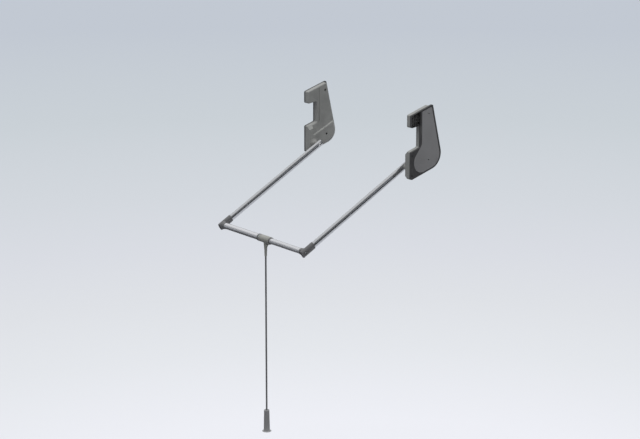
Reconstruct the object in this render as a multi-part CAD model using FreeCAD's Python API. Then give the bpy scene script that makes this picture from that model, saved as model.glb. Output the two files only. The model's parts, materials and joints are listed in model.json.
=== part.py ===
import FreeCAD, Part
import math
import os

from FreeCAD import Vector

# Pull down closet rod: two spring housings screwed to the side walls of a wardrobe carry two
# arms, and the arms carry a telescopic hanging rod that a pull handle brings down.
# Millimetres.  X runs from the left wall to the right wall, the user stands at -Y, Z is up.
# The origin is where the arms' pivot axis meets the left wall.  The arms are drawn lowered.

# ---------------------------------------------------------------- overall sizes
WALL_SPAN = 780.0           # distance between the two side walls
ARM_LENGTH = 605.0          # pivot axis to hanging rod axis
LOWERED_ANGLE = 30.0        # arms below the horizontal when pulled down
LIFT_ANGLE = 135.0          # swing from lowered to fully raised
ARM_INSET = 79.0            # wall to the middle plane of an arm
HANDLE_LENGTH = 865.0       # hanging rod axis to the foot of the pull handle
HANDLE_OFFSET = 22.0        # pull handle, right of the middle of the span
STOP_RING_OFFSET = 26.0     # stop ring on the rod, left of the middle of the span

# ---------------------------------------------------------------- clearances
RUNNING_GAP = 0.08          # radial, shaft in its bush
FREE_GAP = 0.3              # between pieces that pass each other
FIT_GAP = 0.1               # around a plug or a plate in its seat

# ---------------------------------------------------------------- housing side profile
FRONT_Y = -26.0             # front face of the hook and of the pivot boss
SPINE_Y = 24.0              # front face of the spine, at the back of the recess
TOP_REAR_Y = 91.0           # rear top corner
BOSS_BOTTOM_Z = -45.8       # heights on the front face, from the pivot axis
BOSS_TOP_Z = 76.0
HOOK_BOTTOM_Z = 180.0
HOOK_TOP_Z = 234.0
EDGE_TILT = 18.5            # rise of the top, boss top and bottom edges to the rear, degrees
HOOK_TILT = 8.0             # rise of the hook's lower edge, degrees
REAR_LEAN = 12.8            # lean of the rear edge, degrees from the vertical
BELLY_RADIUS = 70.0         # round at the lower rear
CORNER_RADIUS = 6.0
RECESS_RADIUS = 7.0
SHELL_WALL = 3.0
SHELL_SPLIT = 10.0          # parting plane of the two shells, from the wall
SHELL_LEDGE = 2.0           # thickness of the shell's ledge behind the narrower cover
SPINE_THICKNESS = 32.0      # wall to the inner face of the spine and the hook
BOSS_THICKNESS = 42.0       # wall to the inner face of the lower body
COVER_REAR_STEP = 12.0      # how much narrower the inner cover is along the rear
COVER_EDGE = 2.5            # bevel around the inner face
BOSS_BEVEL = 15.0           # broad bevel over and under the lower body and along the rear
BOSS_BEVEL_DEPTH = 14.0     # how far from the inner face that bevel starts
SPINE_GROOVE_Y = 36.0       # groove down the spine's inner face
SPINE_GROOVE_WIDTH = 4.0
SPINE_GROOVE_DEPTH = 1.6
SPINE_GROOVE_LOW_Z = 96.0
SPINE_GROOVE_HIGH_Z = 246.0
SHELL_EDGE = 0.8            # bevel around the wall side
PANEL_FRONT_Y = -4.0        # front edge of the sunk panel on the inner face
PANEL_CORNER_Z = 34.0       # lower front corner of that panel
PANEL_TILT = 26.5           # rise of its lower edge to the rear, degrees

# ---------------------------------------------------------------- steel wall plate
PLATE_THICKNESS = 2.5       # also the thickness of the shell's rim
PLATE_FLANGE_Y = -14.0      # front edge of the flange hidden behind the rim
PLATE_FLANGE_RADIUS = 16.0
PLATE_FRONT_Y = 33.0        # front edge of the visible face beside the spine
PLATE_BELLY_Y = -8.5        # front edge of the visible face beside the pivot
PLATE_BELLY_RADIUS = 42.0
PLATE_SHOULDER_Z = 104.0    # where the front edge starts to swing forward
PLATE_BELLY_Z = 46.0        # and where it is upright again
PLATE_BEND_RADIUS = 32.0
PLATE_TOP_RIM = 7.5
PLATE_REAR_RIM = 8.5
PLATE_BOTTOM_RIM = 7.0
WALL_SCREW_Y = 70.0
WALL_SCREW_UPPER_Z = 235.0
WALL_SCREW_LOWER_Z = 35.0
WALL_SCREW_HOLE_R = 2.75
WALL_SCREW_TUBE_R = 5.5     # bore of the tube that leads the screw to the plate
WALL_SCREW_TUBE_WALL = 1.5

# ---------------------------------------------------------------- case screws and ribs
CASE_SCREW_R = 1.5
CASE_SCREW_LENGTH = 24.0
CASE_SCREW_HEAD_R = 3.2
CASE_SCREW_HEAD = 2.0
SCREW_SLOT = 1.0            # width of the slots and crosses in screw heads
CASE_SCREW_POST_R = 4.0
CASE_SCREW_SEATS = ((-19.5, 60.0), (-19.5, -26.0), (-19.5, 222.0))
RIB = 1.8
HOOK_RIB_COUNT = 3

# ---------------------------------------------------------------- pivot
AXLE_R = 5.0
AXLE_END_X = 68.0
AXLE_SHOULDER_R = 8.0
AXLE_SHOULDER = 3.0
BUSH_WALL = 1.5
BUSH_END_X = 66.0
AXLE_PAD_R = 12.0           # part of the wall plate left thick around the axle
DISC_R = 17.0
DISC_X = 25.5
DISC_WIDTH = 5.5
HUB_JOURNAL_R = 13.0
HUB_HORN_R = 22.0
HUB_NECK_R = 11.0
HUB_NECK_X = 60.0
HUB_SADDLE = 3.0            # how far the hub's end wraps round the arm's side
HUB_BEND = (0.3, 0.28)      # shares of the horn's length and drop at the middle of its curve
HUB_BEARING_WALL = 3.0
HUB_BEARING_X = 36.0
KEY_DEPTH = 2.0             # keys between pinion, stop disc and hub
KEY_REACH = 2.0
KEY_WIDTH = 5.0
HUB_TONGUE = 4.5            # tongue that turns the arm
HUB_TONGUE_LENGTH = 16.0
HUB_TONGUE_HEIGHT = 10.0
PIVOT_BOLT_R = 3.0
PIVOT_BOLT_HEAD_R = 7.5
PIVOT_BOLT_HEAD = 3.5
PIVOT_BOLT_CROWN_R = 3.75   # flat in the middle of the bolt's domed head
PIVOT_BOLT_RIM = 1.2        # straight rim under the dome
PIVOT_BOLT_SOCKET_R = 2.5
PIVOT_BOLT_DOME = (0.7, 0.6)    # shares of the dome's height and width at the middle of its curve
PIVOT_BOLT_THREAD = 16.0
LUG_REACH = 4.5             # stop lug, beyond the stop disc
LUG_ANGLE = 160.0           # its place when the arms are lowered, degrees from +Y up
LUG_WIDTH = 20.0            # degrees
PAD_WIDTH = 14.0            # degrees
PAD_REACH = 5.0
PAD_SPARE = 0.5             # degrees left before the upper pad

# ---------------------------------------------------------------- rack, pinion and lift spring
GEAR_MODULE = 1.1
PINION_TEETH = 20
PRESSURE_ANGLE = 20.0
TOOTH_THINNING = 0.3
PINION_X = 8.5
RACK_X = 9.0
RACK_WIDTH = 16.0
RACK_BACK_Y = 24.0
RACK_TOOTH_PITCHES_ABOVE = 11
PLUNGER_FLOOR_Z = 45.0
PLUNGER_FLOOR = 8.0
SPRING_Y = 48.0
SPRING_R = 10.0             # mean radius of the coil
SPRING_WIRE_R = 1.5
SPRING_TURNS = 16
SPRING_TOP_Z = 238.0
SPRING_CAP_R = 11.5
GUIDE_ROD_R = 4.0
GUIDE_ROD_BOTTOM_Z = 16.0
GUIDE_ROD_SEAT = 8.0
RACK_GUIDE = 3.0
RACK_GUIDE_TOP_Z = 16.0

# ---------------------------------------------------------------- arms and corners
ARM_HEIGHT = 30.0
ARM_THICKNESS = 15.0
ARM_WALL = 1.2
ARM_OVERRUN = 15.0          # arm tube past the pivot
ARM_STOP = 16.0             # arm tube ends this far from the rod axis
PLUG_LENGTH = 42.0
PLUG_LIP = 2.5
ELBOW_WALL = 2.0
ELBOW_END = 18.0            # elbow past the rod axis
ELBOW_MOUTH = 50.0          # elbow's socket mouth, from the rod axis
ELBOW_EDGE = 2.2
NECK_REACH = 26.0           # elbow neck's end, from the arm's middle plane
NECK_WALL = 1.5
NECK_FLARE = 2.6
NECK_BEND = (0.4, 0.22)     # shares of the neck's length and flare at the middle of its curve
GUSSET = 6.0
GUSSET_REACH = 10.0
GUSSET_RISE = 26.0
CORNER_SCREW_R = 2.5
CORNER_SCREW_LENGTH = 32.0
CORNER_SCREW_HEAD_R = 4.5
CORNER_SCREW_HEAD = 3.0
CORNER_SCREW_CROSS = 5.4    # length of the cross in its head
CORNER_RECESS_R = 5.6
CORNER_RECESS = 5.5
ROD_START = 9.0             # rod tube's end, from the arm's middle plane

# ---------------------------------------------------------------- hanging rod
OUTER_ROD_R = 13.5
OUTER_ROD_WALL = 0.8
ROD_SLIDE_GAP = 0.2
INNER_ROD_WALL = 1.0
ROD_OVERLAP = 190.0
ROD_PLUG = 20.0
COLLAR_SLEEVE = 5.0
COLLAR_LIP = 2.0
STOP_RING_WALL = 2.3
STOP_RING_WIDTH = 8.0
GLIDE_LIP = 4.0
GLIDE_SPIGOT = 12.0

# ---------------------------------------------------------------- pull handle
SWIVEL_WALL = 0.8
SWIVEL_FLANGE = 1.5
SADDLE_LEFT = 30.0          # saddle's reach along the rod from the stem's axis
SADDLE_RIGHT = 38.0
SADDLE_WALL = 1.5
SADDLE_EDGE = 0.8
STEM_TOP_WIDTH = 24.0
STEM_TOP_DEPTH = 16.0
STEM_WAIST_WIDTH = 16.6
STEM_WAIST_DEPTH = 14.0
STEM_END_R = 5.2
STEM_LENGTH = 74.0          # rod axis to the lower end of the stem
STEM_WAIST = 32.0           # rod axis to the place where the spur runs out
SPUR_REACH = 34.0
SPUR_THICKNESS = 9.0
SPUR_HOLLOW = 3.0           # how deep the spur's lower edge curves in
CLIP_SCREW_R = 1.6
CLIP_SCREW_HEAD_R = 3.0
CLIP_SCREW_HEAD = 2.0
CLIP_SCREW_SOCKET_R = 1.3
CLIP_SCREW_X = 17.0
CLIP_SCREW_DROP = 2.8       # screw axis below the saddle
STEM_PIN_R = 1.5
STEM_PIN_LENGTH = 9.5
STEM_PIN_RISE = 10.0
PULL_ROD_R = 3.75
PULL_ROD_SEAT = 22.0
GRIP_LENGTH = 94.0
GRIP_TOP_R = 11.7
GRIP_END_R = 13.6
GRIP_EDGE = 1.6             # bevel around the grip's flat top
GRIP_DISH_R = 7.0           # dish around the pull rod in the flat top
GRIP_DISH = 0.8
GRIP_SEAT = 60.0
GRIP_FOOT_R = 20.0
GRIP_FOOT = 4.0
GRIP_FOOT_LIP = 2.2
GRIP_FOOT_EDGE = 0.8
GRIP_FLUTES = 12
GRIP_FLUTE_R = 1.3
GRIP_FLUTE_START = 8.0      # plain band at each end of the flutes

# ---------------------------------------------------------------- sizes that follow
MIDDLE_X = WALL_SPAN / 2
TILT = math.tan(math.radians(EDGE_TILT))
LEAN = math.tan(math.radians(REAR_LEAN))
TRAVEL = GEAR_MODULE * PINION_TEETH / 2 * math.radians(LIFT_ANGLE)
ROD_Y = -ARM_LENGTH * math.cos(math.radians(LOWERED_ANGLE))
ROD_Z = -ARM_LENGTH * math.sin(math.radians(LOWERED_ANGLE))
OUTER_ROD_BORE = OUTER_ROD_R - OUTER_ROD_WALL
INNER_ROD_R = OUTER_ROD_BORE - ROD_SLIDE_GAP
INNER_ROD_BORE = INNER_ROD_R - INNER_ROD_WALL
HANDLE_X = MIDDLE_X + HANDLE_OFFSET
STOP_RING_X = MIDDLE_X - STOP_RING_OFFSET
SADDLE_START = HANDLE_X - SADDLE_LEFT
SADDLE_END = HANDLE_X + SADDLE_RIGHT
OUTER_ROD_END = SADDLE_END + FREE_GAP + COLLAR_SLEEVE
ARM_FACE = ARM_INSET - ARM_THICKNESS / 2
BUSH_R = AXLE_R + RUNNING_GAP + BUSH_WALL
FLANGE_FACE_X = 2 * PLATE_THICKNESS
HUB_START_X = DISC_X + DISC_WIDTH
RACK_MIDDLE_X = RACK_X + RACK_WIDTH / 2
HORN_X = BOSS_THICKNESS + FREE_GAP
SWIVEL_R = OUTER_ROD_R + RUNNING_GAP + SWIVEL_WALL
SADDLE_BORE = SWIVEL_R + RUNNING_GAP
SADDLE_R = SADDLE_BORE + SADDLE_WALL
CLIP_X = HANDLE_X + CLIP_SCREW_X
CLIP_Z = ROD_Z - SADDLE_R - CLIP_SCREW_DROP
SPUR_FRONT_Y = ROD_Y - SPUR_THICKNESS / 2
STEM_PIN_Z = ROD_Z - STEM_LENGTH + STEM_PIN_RISE
GRIP_LOW_Z = ROD_Z - HANDLE_LENGTH + GRIP_FOOT
GRIP_HIGH_Z = GRIP_LOW_Z + GRIP_LENGTH
PAST = 1.0                  # cutting tools run this far past a face


# ================================================================ small tools
def rotated_points(corners):
    """Each corner with the one before it and the one after it."""
    return [(corners[i - 1], corners[i], corners[(i + 1) % len(corners)]) for i in range(len(corners))]


def corner_cut(before, corner, after):
    """Start, middle and end of the tangent arc at a rounded corner."""
    here = Vector(0, corner[0], corner[1])
    back = (Vector(0, before[0], before[1]) - here).normalize()
    ahead = (Vector(0, after[0], after[1]) - here).normalize()
    half = back.getAngle(ahead) / 2
    reach = corner[2] / math.tan(half)
    centre = here + (back + ahead).normalize() * (corner[2] / math.sin(half))
    middle = centre + (here - centre).normalize() * corner[2]
    return here + back * reach, middle, here + ahead * reach


def side_wire(corners, x):
    """Closed outline in the plane at x from (y, z, radius) corners."""
    cuts = [corner_cut(*three) for three in rotated_points(corners)]
    edges = []
    for this, following in zip(cuts, cuts[1:] + cuts[:1]):
        edges.append(Part.Arc(this[0], this[1], this[2]).toShape())
        edges.append(Part.LineSegment(this[2], following[0]).toShape())
    wire = Part.Wire(edges)
    wire.translate(Vector(x, 0, 0))
    return wire


def side_slab(corners, x_from, x_to):
    """The outline as a slab between two planes."""
    return Part.Face(side_wire(corners, x_from)).extrude(Vector(x_to - x_from, 0, 0))


def inset(corners, gaps):
    """Move the edge after each corner inwards.  gaps is one distance, or one per edge."""
    if not isinstance(gaps, (list, tuple)):
        gaps = [gaps] * len(corners)
    lines = []
    for i, (y, z, _) in enumerate(corners):
        y2, z2, _ = corners[(i + 1) % len(corners)]
        length = math.hypot(y2 - y, z2 - z)
        along = ((y2 - y) / length, (z2 - z) / length)
        lines.append((y - along[1] * gaps[i], z + along[0] * gaps[i], along))
    moved = []
    for i, (_, _, radius) in enumerate(corners):
        y1, z1, (a1, b1) = lines[i - 1]
        y2, z2, (a2, b2) = lines[i]
        turn = a1 * b2 - b1 * a2
        step = ((y2 - y1) * b2 - (z2 - z1) * a2) / turn
        gap = max(gaps[i - 1], gaps[i])
        kept = radius - gap if turn > 0 else radius + gap
        moved.append((y1 + a1 * step, z1 + b1 * step, max(kept, 0.5)))
    return moved


def bevelled_slab(corners, x_from, x_to, depth, gaps=None):
    """A slab with a bevel before x_to, as wide as it is deep unless each edge has a gap of its own."""
    start = x_to + math.copysign(depth, x_from - x_to)
    narrowed = inset(corners, depth if gaps is None else gaps)
    tapered = Part.makeLoft([side_wire(corners, start), side_wire(narrowed, x_to)], True, True)
    return side_slab(corners, x_from, start).fuse(tapered).removeSplitter()


def cylinder_x(radius, x_from, x_to, y=0.0, z=0.0):
    return Part.makeCylinder(radius, x_to - x_from, Vector(x_from, y, z), Vector(1, 0, 0))


def cylinder_y(radius, y_from, y_to, x, z):
    return Part.makeCylinder(radius, y_to - y_from, Vector(x, y_from, z), Vector(0, 1, 0))


def cylinder_z(radius, z_from, z_to, x, y):
    return Part.makeCylinder(radius, z_to - z_from, Vector(x, y, z_from), Vector(0, 0, 1))


def tube_x(outer, inner, x_from, x_to, y=0.0, z=0.0):
    return cylinder_x(outer, x_from, x_to, y, z).cut(cylinder_x(inner, x_from - PAST, x_to + PAST, y, z))


def box(x_from, x_to, y_from, y_to, z_from, z_to):
    return Part.makeBox(x_to - x_from, y_to - y_from, z_to - z_from, Vector(x_from, y_from, z_from))


def oval_bar(thickness, height, y_from, y_to, x=ARM_INSET):
    """A bar along Y with an upright elliptic section."""
    centre = Vector(x, y_from, 0)
    section = Part.Ellipse(centre + Vector(0, 0, height / 2), centre + Vector(thickness / 2, 0, 0), centre)
    return Part.Face(Part.Wire(section.toShape())).extrude(Vector(0, y_to - y_from, 0))


def turned(profile, y=0.0, z=0.0):
    """Turn (x, radius) points about an axis along X.  A middle point of three makes an arc."""
    edges = []
    for piece in profile:
        points = [Vector(x, radius, 0) for x, radius in piece]
        curve = Part.Arc(*points) if len(points) == 3 else Part.LineSegment(*points)
        edges.append(curve.toShape())
    first, last = profile[0][0], profile[-1][-1]
    edges.append(Part.LineSegment(Vector(last[0], last[1], 0), Vector(last[0], 0, 0)).toShape())
    edges.append(Part.LineSegment(Vector(last[0], 0, 0), Vector(first[0], 0, 0)).toShape())
    edges.append(Part.LineSegment(Vector(first[0], 0, 0), Vector(first[0], first[1], 0)).toShape())
    solid = Part.Face(Part.Wire(edges)).revolve(Vector(0, 0, 0), Vector(1, 0, 0), 360)
    solid.translate(Vector(0, y, z))
    return solid


def sector(r_from, r_to, x_from, x_to, middle, width):
    """A piece of a ring about the pivot axis, between two radial planes."""
    lower, upper = math.radians(middle - width / 2), math.radians(middle + width / 2)
    centre = math.radians(middle)

    def at(radius, angle):
        return Vector(x_from, radius * math.cos(angle), radius * math.sin(angle))

    edges = [
        Part.LineSegment(at(r_from, lower), at(r_to, lower)).toShape(),
        Part.Arc(at(r_to, lower), at(r_to, centre), at(r_to, upper)).toShape(),
        Part.LineSegment(at(r_to, upper), at(r_from, upper)).toShape(),
        Part.Arc(at(r_from, upper), at(r_from, centre), at(r_from, lower)).toShape(),
    ]
    return Part.Face(Part.Wire(edges)).extrude(Vector(x_to - x_from, 0, 0))


def lowered(shape):
    """Swing a piece that was drawn on a level arm down to the lowered place."""
    shape = shape.copy()
    shape.rotate(Vector(0, 0, 0), Vector(1, 0, 0), LOWERED_ANGLE)
    return shape


def mirrored(shape):
    return shape.mirror(Vector(MIDDLE_X, 0, 0), Vector(1, 0, 0))


# ================================================================ outlines
def bottom_z(y):
    return BOSS_BOTTOM_Z + (y - FRONT_Y) * TILT


def top_z(y):
    return HOOK_TOP_Z + (y - FRONT_Y) * TILT


def rear_y(z):
    return TOP_REAR_Y + (top_z(TOP_REAR_Y) - z) * LEAN


def belly_corner(step):
    """Where the rear edge, moved in by step, meets the bottom edge."""
    y = (rear_y(BOSS_BOTTOM_Z - FRONT_Y * TILT) - step) / (1 + TILT * LEAN)
    return y, bottom_z(y)


def housing_outline(step=0.0):
    """Side profile of a housing, front bottom corner first, anticlockwise seen from +X."""
    belly_y, belly_z = belly_corner(step)
    top_y = TOP_REAR_Y - step
    hook_rise = (SPINE_Y - FRONT_Y) * math.tan(math.radians(HOOK_TILT))
    return [
        (FRONT_Y, BOSS_BOTTOM_Z, CORNER_RADIUS),
        (belly_y, belly_z, BELLY_RADIUS - step),
        (top_y, top_z(top_y), CORNER_RADIUS),
        (FRONT_Y, HOOK_TOP_Z, CORNER_RADIUS),
        (FRONT_Y, HOOK_BOTTOM_Z, CORNER_RADIUS),
        (SPINE_Y, HOOK_BOTTOM_Z + hook_rise, RECESS_RADIUS),
        (SPINE_Y, BOSS_TOP_Z + (SPINE_Y - FRONT_Y) * TILT, RECESS_RADIUS),
        (FRONT_Y, BOSS_TOP_Z, CORNER_RADIUS),
    ]


def lower_body_outline():
    """The thick part of the inner cover: all but the sunk panel."""
    belly_y, belly_z = belly_corner(COVER_REAR_STEP)
    rise = math.tan(math.radians(PANEL_TILT))
    level = PANEL_CORNER_Z - PANEL_FRONT_Y * rise
    end_y = (rear_y(level) - COVER_REAR_STEP) / (1 + rise * LEAN)
    return [
        (FRONT_Y, BOSS_BOTTOM_Z, CORNER_RADIUS),
        (belly_y, belly_z, BELLY_RADIUS - COVER_REAR_STEP),
        (end_y, level + end_y * rise, CORNER_RADIUS),
        (PANEL_FRONT_Y, PANEL_CORNER_Z, CORNER_RADIUS),
        (PANEL_FRONT_Y, BOSS_TOP_Z + (PANEL_FRONT_Y - FRONT_Y) * TILT, CORNER_RADIUS),
        (FRONT_Y, BOSS_TOP_Z, CORNER_RADIUS),
    ]


def plate_outline():
    """Teardrop of the wall plate's visible face, inside the shell's rim."""
    slant = math.cos(math.radians(EDGE_TILT))
    bottom = PLATE_BOTTOM_RIM / slant
    top = PLATE_TOP_RIM / slant
    rear = PLATE_REAR_RIM / math.cos(math.radians(REAR_LEAN))
    belly_y = (rear_y(BOSS_BOTTOM_Z + bottom - FRONT_Y * TILT) - rear) / (1 + TILT * LEAN)
    top_y = TOP_REAR_Y - rear + top * LEAN
    return [
        (PLATE_BELLY_Y, bottom_z(PLATE_BELLY_Y) + bottom, PLATE_BELLY_RADIUS),
        (belly_y, bottom_z(belly_y) + bottom, BELLY_RADIUS - PLATE_REAR_RIM),
        (top_y, top_z(top_y) - top, CORNER_RADIUS),
        (PLATE_FRONT_Y, top_z(PLATE_FRONT_Y) - top, CORNER_RADIUS),
        (PLATE_FRONT_Y, PLATE_SHOULDER_Z, PLATE_BEND_RADIUS),
        (PLATE_BELLY_Y, PLATE_BELLY_Z, PLATE_BEND_RADIUS),
    ]


def flange_outline():
    """Outline of the wall plate's flange, inside the shell's walls."""
    belly_y, belly_z = belly_corner(0)
    shelf_z = BOSS_TOP_Z - FRONT_Y * TILT
    wall = SHELL_WALL + FREE_GAP
    outline = [
        (PLATE_FLANGE_Y, bottom_z(PLATE_FLANGE_Y), PLATE_FLANGE_RADIUS),
        (belly_y, belly_z, BELLY_RADIUS),
        (TOP_REAR_Y, top_z(TOP_REAR_Y), CORNER_RADIUS),
        (SPINE_Y, top_z(SPINE_Y), CORNER_RADIUS),
        (SPINE_Y, shelf_z + SPINE_Y * TILT, RECESS_RADIUS),
        (PLATE_FLANGE_Y, shelf_z + PLATE_FLANGE_Y * TILT, CORNER_RADIUS),
    ]
    return inset(outline, [wall, wall, wall, wall, wall, 0])


# ================================================================ housing
def wall_plate():
    """Pressed plate: a flange behind the shell's rim and a face set out flush with it."""
    face = inset(plate_outline(), FIT_GAP)
    flange = side_slab(flange_outline(), PLATE_THICKNESS, FLANGE_FACE_X)
    hollow = side_slab(inset(face, PLATE_THICKNESS), PLATE_THICKNESS, FLANGE_FACE_X + PAST)
    hollow = hollow.cut(cylinder_x(AXLE_PAD_R, 0, FLANGE_FACE_X + PAST))
    plate = side_slab(face, 0, PLATE_THICKNESS).fuse(flange.cut(hollow))
    for z in (WALL_SCREW_UPPER_Z, WALL_SCREW_LOWER_Z):
        plate = plate.cut(cylinder_x(WALL_SCREW_HOLE_R, -PAST, PLATE_THICKNESS + PAST, WALL_SCREW_Y, z))
    return plate.cut(cylinder_x(AXLE_R, PLATE_THICKNESS, FLANGE_FACE_X + PAST)).removeSplitter()


def hook_ribs():
    """Stiffening ribs across the open pocket of the hook."""
    step = (HOOK_TOP_Z - HOOK_BOTTOM_Z) / (HOOK_RIB_COUNT + 1)
    levels = [HOOK_BOTTOM_Z + step * (i + 1) for i in range(HOOK_RIB_COUNT)]
    ribs = [box(PLATE_THICKNESS, SHELL_SPLIT, FRONT_Y, SPINE_Y, z - RIB / 2, z + RIB / 2) for z in levels]
    front = (FRONT_Y + SPINE_Y - RIB) / 2
    ribs.append(box(PLATE_THICKNESS, SHELL_SPLIT, front, front + RIB, HOOK_BOTTOM_Z, top_z(front)))
    ribs.append(box(0, SHELL_SPLIT, SPINE_Y, SPINE_Y + SHELL_WALL, HOOK_BOTTOM_Z, top_z(SPINE_Y)))
    return ribs


def back_shell():
    """Dark outer shell: a rim around the plate, open towards the wall at the hook."""
    outline = housing_outline()
    cavity = inset(outline, SHELL_WALL)
    shell = bevelled_slab(outline, SHELL_SPLIT, 0, SHELL_EDGE)
    shell = shell.cut(side_slab(cavity, PLATE_THICKNESS, SHELL_SPLIT + PAST))
    shell = shell.cut(side_slab(plate_outline(), -PAST, PLATE_THICKNESS + PAST))
    pocket = box(-PAST, PLATE_THICKNESS + PAST, FRONT_Y, SPINE_Y, HOOK_BOTTOM_Z, top_z(SPINE_Y))
    shell = shell.cut(pocket.common(side_slab(cavity, -PAST, PLATE_THICKNESS + PAST)))
    inside = side_slab(inset(outline, SHELL_WALL / 2), 0, SHELL_SPLIT)
    ledge = side_slab(outline, SHELL_SPLIT - SHELL_LEDGE, SHELL_SPLIT)
    ledge = ledge.cut(side_slab(inset(housing_outline(COVER_REAR_STEP), SHELL_WALL), 0, SHELL_SPLIT + PAST))
    shell = shell.multiFuse([piece.common(inside) for piece in hook_ribs() + [ledge]])
    for y, z in CASE_SCREW_SEATS:
        shell = shell.fuse(cylinder_x(CASE_SCREW_POST_R, CASE_SCREW_HEAD, SHELL_SPLIT, y, z))
    for y, z in CASE_SCREW_SEATS:
        shell = shell.cut(cylinder_x(CASE_SCREW_R + FIT_GAP, -PAST, SHELL_SPLIT + PAST, y, z))
        shell = shell.cut(cylinder_x(CASE_SCREW_HEAD_R + FIT_GAP, -PAST, CASE_SCREW_HEAD, y, z))
    return shell.removeSplitter()


def cover_room(wall):
    """Space inside the broad bevel, narrower by a wall thickness."""
    slope = BOSS_BEVEL / BOSS_BEVEL_DEPTH
    start = BOSS_THICKNESS - BOSS_BEVEL_DEPTH - wall * (math.hypot(1, slope) - 1) / slope
    end = BOSS_THICKNESS - wall
    bevel = (end - start) * slope
    outline = inset(housing_outline(COVER_REAR_STEP), wall)
    return bevelled_slab(outline, 0, end, end - start, [bevel, bevel, 0, 0, 0, 0, bevel, 0])


def inner_cover():
    """Cover on the wardrobe side, thicker over the pivot than over the spine."""
    upper = housing_outline(COVER_REAR_STEP)
    lower = lower_body_outline()
    cover = bevelled_slab(upper, SHELL_SPLIT, SPINE_THICKNESS, COVER_EDGE)
    cover = cover.fuse(bevelled_slab(lower, SHELL_SPLIT, BOSS_THICKNESS, COVER_EDGE))
    inner_face = BOSS_THICKNESS - SHELL_WALL
    cavity = side_slab(inset(upper, SHELL_WALL), SHELL_SPLIT - PAST, SPINE_THICKNESS - SHELL_WALL)
    cavity = cavity.fuse(side_slab(inset(lower, SHELL_WALL), SHELL_SPLIT - PAST, inner_face))
    cover = cover.common(cover_room(0)).cut(cavity.common(cover_room(SHELL_WALL)))
    groove_x = (SPINE_THICKNESS - SPINE_GROOVE_DEPTH, SPINE_THICKNESS + PAST)
    groove_y = (SPINE_GROOVE_Y - SPINE_GROOVE_WIDTH / 2, SPINE_GROOVE_Y + SPINE_GROOVE_WIDTH / 2)
    cover = cover.cut(box(*groove_x, *groove_y, SPINE_GROOVE_LOW_Z, SPINE_GROOVE_HIGH_Z))
    for z, end in ((WALL_SCREW_UPPER_Z, SPINE_THICKNESS), (WALL_SCREW_LOWER_Z, BOSS_THICKNESS)):
        tube_end = end - SHELL_WALL
        tube_r = WALL_SCREW_TUBE_R + WALL_SCREW_TUBE_WALL
        cover = cover.fuse(cylinder_x(tube_r, PLATE_THICKNESS, tube_end, WALL_SCREW_Y, z))
        cover = cover.cut(cylinder_x(WALL_SCREW_TUBE_R, 0, end + PAST, WALL_SCREW_Y, z))
    guide_y = RACK_BACK_Y + FREE_GAP
    guide = box(RACK_X, inner_face, guide_y, guide_y + RACK_GUIDE, bottom_z(guide_y), RACK_GUIDE_TOP_Z)
    cover = cover.fuse(guide.common(side_slab(inset(lower, SHELL_WALL), RACK_X, inner_face)))
    for y, z in CASE_SCREW_SEATS:
        face = inner_face if z < BOSS_TOP_Z else SPINE_THICKNESS - SHELL_WALL
        cover = cover.fuse(cylinder_x(CASE_SCREW_POST_R, SHELL_SPLIT, face, y, z))
        screw_end = min(CASE_SCREW_LENGTH + CASE_SCREW_HEAD, face)
        cover = cover.cut(cylinder_x(CASE_SCREW_R, SHELL_SPLIT - PAST, screw_end, y, z))
    bearing = HUB_JOURNAL_R + RUNNING_GAP + HUB_BEARING_WALL
    cover = cover.cut(cylinder_x(bearing, inner_face - PAST, BOSS_THICKNESS + PAST))
    posts_end = side_slab(upper, 0, SHELL_SPLIT)
    return cover.common(posts_end.fuse(cover_room(0))).removeSplitter()


def case_screws():
    screws = []
    for y, z in CASE_SCREW_SEATS:
        head = cylinder_x(CASE_SCREW_HEAD_R, 0, CASE_SCREW_HEAD, y, z)
        shank = cylinder_x(CASE_SCREW_R, CASE_SCREW_HEAD, CASE_SCREW_LENGTH, y, z)
        half, reach = SCREW_SLOT / 2, CASE_SCREW_HEAD_R
        slot = box(-PAST, CASE_SCREW_HEAD / 2, y - reach, y + reach, z - half, z + half)
        screws.append(head.fuse(shank).cut(slot))
    return Part.makeCompound(screws)


def pivot_axle():
    axle = cylinder_x(AXLE_R, PLATE_THICKNESS, AXLE_END_X)
    shoulder = cylinder_x(AXLE_SHOULDER_R, FLANGE_FACE_X, FLANGE_FACE_X + AXLE_SHOULDER)
    bore = cylinder_x(PIVOT_BOLT_R, AXLE_END_X - PIVOT_BOLT_THREAD, AXLE_END_X + PAST)
    return axle.fuse(shoulder).cut(bore).removeSplitter()


def pivot_bolt():
    head_x = ARM_FACE + ARM_THICKNESS + FREE_GAP
    shank = cylinder_x(PIVOT_BOLT_R, AXLE_END_X - PIVOT_BOLT_THREAD, head_x)
    end = head_x + PIVOT_BOLT_HEAD
    rim = (head_x + PIVOT_BOLT_RIM, PIVOT_BOLT_HEAD_R)
    crown = (end, PIVOT_BOLT_CROWN_R)
    rise, width = end - rim[0], rim[1] - crown[1]
    middle = (rim[0] + rise * PIVOT_BOLT_DOME[0], crown[1] + width * PIVOT_BOLT_DOME[1])
    head = turned([((head_x, PIVOT_BOLT_HEAD_R), rim), (rim, middle, crown)])
    socket = cylinder_x(PIVOT_BOLT_SOCKET_R, end - PIVOT_BOLT_HEAD / 2, end + PAST)
    return shank.fuse(head).cut(socket).removeSplitter()


def pivot_bush():
    start = FLANGE_FACE_X + AXLE_SHOULDER + FREE_GAP
    return tube_x(BUSH_R, AXLE_R + RUNNING_GAP, start, BUSH_END_X)


def hub_bearing():
    inner = HUB_JOURNAL_R + RUNNING_GAP
    return tube_x(inner + HUB_BEARING_WALL, inner, HUB_BEARING_X, BOSS_THICKNESS)


def key_bar(x_from, x_to):
    """Bar across the pivot bush that keys one turning piece to the next."""
    reach = BUSH_R + KEY_REACH
    return box(x_from, x_to, -reach, reach, -KEY_WIDTH / 2, KEY_WIDTH / 2)


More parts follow.
